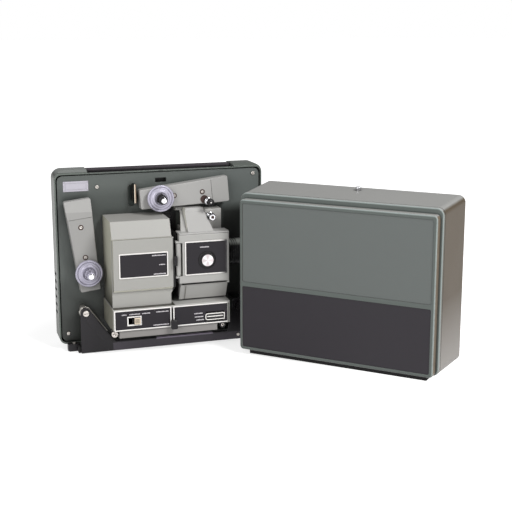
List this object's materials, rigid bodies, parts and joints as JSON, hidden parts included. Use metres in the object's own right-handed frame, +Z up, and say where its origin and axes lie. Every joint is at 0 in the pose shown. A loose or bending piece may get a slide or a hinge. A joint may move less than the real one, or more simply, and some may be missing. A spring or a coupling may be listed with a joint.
{
  "type": "film projector in a carrying case with a loose cover",
  "caption": "Portable cine projector on a tilting base: reel arms folded on a flat panel, lamp and lens housings over the controls, its cover standing beside it.",
  "frame": {"origin": "centre of the base's underside, on the floor", "axes": "+X along the mechanism panel towards the lens, +Y to the back of the case, +Z up"},
  "size_m": [0.5723, 0.3764, 0.2884],
  "materials": {
    "black_base": "black hammered enamel",
    "rubber": "matt black",
    "plated_screws": "nickel plated",
    "bronze_bush": "sintered",
    "spring_steel": "plain",
    "black_plastic": "fine grain",
    "steel_strip": "dark",
    "case_green": "grey green satin enamel",
    "label_metal": "satin",
    "light_grey": "light grey satin enamel",
    "white_trim": "white edge",
    "black_field": "black",
    "switch_tan": "ivory",
    "bright_alloy": "turned",
    "gate_steel": "polished",
    "lens_black": "black anodised",
    "lens_glass": "coated",
    "cast_grey": "die cast",
    "motor_grey": "grey",
    "shaft_steel": "ground",
    "lamp_mirror": "reflector",
    "core_iron": "laminated, varnished",
    "cover_grey": "grained grey green",
    "cover_black": "grained black",
    "runner_black": "matt",
    "latch_chrome": "bright"
  },
  "bodies": {
    "base": {"base_tray": "black_base", "rubber_feet": "rubber", "base_screws": "plated_screws", "pivot_bush": "bronze_bush", "balance_spring": "spring_steel"},
    "tilt_clamp": {"tilt_knob": "black_plastic"},
    "case": {"tilt_quadrant": "steel_strip", "pivot_shaft": "plated_screws", "rear_shell": "case_green", "mechanism_panel": "case_green", "panel_screws": "plated_screws", "label_plate": "label_metal", "arm_clip": "spring_steel", "lamp_house": "light_grey", "lens_house": "light_grey", "control_housing": "light_grey", "control_screws": "plated_screws", "front_borders": "white_trim", "front_fields": "black_field", "film_gate": "gate_steel", "inlet_block": "light_grey", "panel_pins": "plated_screws", "lens_mount": "cast_grey", "motor": "motor_grey", "drive_belt": "rubber", "main_bearings": "cast_grey", "lamp": "lamp_mirror", "lamp_socket": "black_plastic", "transformer": "core_iron", "mains_inlet": "black_plastic"},
    "handle": {"carry_handle": "black_plastic"},
    "door": {"gate_door": "light_grey", "door_plate": "black_field", "door_border": "white_trim"},
    "catch": {"catch_bar": "light_grey"},
    "focus": {"focus_knob": "black_plastic", "focus_cap": "bright_alloy", "focus_wheel": "rubber"},
    "lens": {"lens_barrel": "lens_black", "lens_glass": "lens_glass"},
    "lamp_switch": {"switch_slider": "switch_tan"},
    "size_selector": {"size_lever": "black_plastic"},
    "speed_control": {"speed_wheel": "black_plastic"},
    "motion_control": {"motion_lever": "black_plastic"},
    "inlet_guide": {"inlet_roller": "black_plastic"},
    "upper_arm": {"feed_arm": "light_grey", "feed_roller_pin": "plated_screws"},
    "upper_guide": {"feed_roller": "black_plastic"},
    "feed_hub": {"feed_spindle": "bright_alloy"},
    "left_arm": {"takeup_arm": "light_grey", "takeup_belt": "rubber"},
    "takeup_drive": {"takeup_pulley": "black_plastic"},
    "takeup_hub": {"takeup_spindle": "bright_alloy"},
    "rotor": {"motor_shaft": "shaft_steel"},
    "shutter": {"main_shaft": "shaft_steel"},
    "cover": {"cover_shell": "case_green", "cover_upper_panel": "cover_grey", "cover_lower_panel": "cover_black", "cover_runner": "runner_black"},
    "cover_latch": {"latch_button": "latch_chrome"}
  },
  "joints": [
    {"name": "case_tilt", "type": "hinge", "parent": "base", "child": "case", "pos_m": [-0.1315, -0.034, 0.0666], "axis": [0, -1, 0], "range_deg": [0, 8]},
    {"name": "clamp_turn", "type": "hinge", "parent": "base", "child": "tilt_clamp", "pos_m": [0.121, -0.036, 0.058], "axis": [0, 1, 0], "range_deg": [0, 180]},
    {"name": "handle_lift", "type": "slide", "parent": "case", "child": "handle", "axis": [0, 0, 1], "range_m": [0, 0.028]},
    {"name": "door_swing", "type": "hinge", "parent": "case", "child": "door", "pos_m": [0.089, -0.0735, 0.152], "axis": [0, 0, 1], "range_deg": [0, 60]},
    {"name": "catch_turn", "type": "hinge", "parent": "door", "child": "catch", "pos_m": [0.0099, -0.0714, 0.152], "axis": [0, 0, 1], "range_deg": [0, 30], "stiffness_Nm_per_rad": 0.05, "springref_deg": -11.46},
    {"name": "focus_turn", "type": "hinge", "parent": "door", "child": "focus", "pos_m": [0.0542, -0.08, 0.1492], "axis": [0, 1, 0], "range_deg": [-45, 45]},
    {"name": "lens_slide", "type": "slide", "parent": "case", "child": "lens", "axis": [1, 0, 0], "range_m": [-0.006, 0.006]},
    {"name": "lamp_switch_slide", "type": "slide", "parent": "case", "child": "lamp_switch", "axis": [-1, 0, 0], "range_m": [0, 0.0089]},
    {"name": "size_selector_slide", "type": "slide", "parent": "case", "child": "size_selector", "axis": [0, 0, 1], "range_m": [0, 0.02]},
    {"name": "speed_turn", "type": "hinge", "parent": "case", "child": "speed_control", "pos_m": [0.0662, -0.0734, 0.0575], "axis": [1, 0, 0], "range_deg": [-40, 40]},
    {"name": "motion_swing", "type": "hinge", "parent": "case", "child": "motion_control", "pos_m": [0.0041, -0.021, 0.152], "axis": [1, 0, 0], "range_deg": [-10, 10]},
    {"name": "inlet_roller_spin", "type": "hinge", "parent": "case", "child": "inlet_guide", "pos_m": [0.0712, -0.043, 0.2116], "axis": [0, 1, 0], "continuous": true},
    {"name": "upper_arm_swing", "type": "hinge", "parent": "case", "child": "upper_arm", "pos_m": [0.09287, -0.016, 0.25069], "axis": [0, 1, 0], "range_deg": [0, 130]},
    {"name": "upper_roller_spin", "type": "hinge", "parent": "upper_arm", "child": "upper_guide", "pos_m": [0.06875, -0.043, 0.23514], "axis": [0, 1, 0], "continuous": true},
    {"name": "feed_hub_spin", "type": "hinge", "parent": "upper_arm", "child": "feed_hub", "pos_m": [-0.0078, -0.034, 0.24259], "axis": [0, 1, 0], "continuous": true},
    {"name": "left_arm_swing", "type": "hinge", "parent": "case", "child": "left_arm", "pos_m": [-0.13577, -0.016, 0.23042], "axis": [0, 1, 0], "range_deg": [0, 100]},
    {"name": "takeup_hub_spin", "type": "hinge", "parent": "left_arm", "child": "takeup_hub", "pos_m": [-0.12416, -0.034, 0.13009], "axis": [0, 1, 0], "continuous": true},
    {"name": "takeup_drive_spin", "type": "hinge", "parent": "left_arm", "child": "takeup_drive", "pos_m": [-0.13577, -0.011, 0.23042], "axis": [0, 1, 0], "continuous": true},
    {"name": "rotor_spin", "type": "hinge", "parent": "case", "child": "rotor", "pos_m": [-0.024, 0.022, 0.104], "axis": [1, 0, 0], "continuous": true},
    {"name": "shutter_spin", "type": "hinge", "parent": "case", "child": "shutter", "pos_m": [-0.04, -0.03, 0.128], "axis": [1, 0, 0], "continuous": true},
    {"name": "cover_lift", "type": "slide", "parent": "base", "child": "cover", "axis": [0, 0, 1], "range_m": [0, 0.15]},
    {"name": "cover_latch_press", "type": "slide", "parent": "cover", "child": "cover_latch", "axis": [0, 0, -1], "range_m": [0, 0.0025], "stiffness_N_per_m": 600, "springref_m": -0.004}
  ],
  "couplings": [
    {"joint": "focus_turn", "follows": "lens_slide", "rad_per_m": 125},
    {"joint": "takeup_drive_spin", "follows": "takeup_hub_spin", "ratio": 1},
    {"joint": "shutter_spin", "follows": "rotor_spin", "ratio": 0.4717}
  ]
}
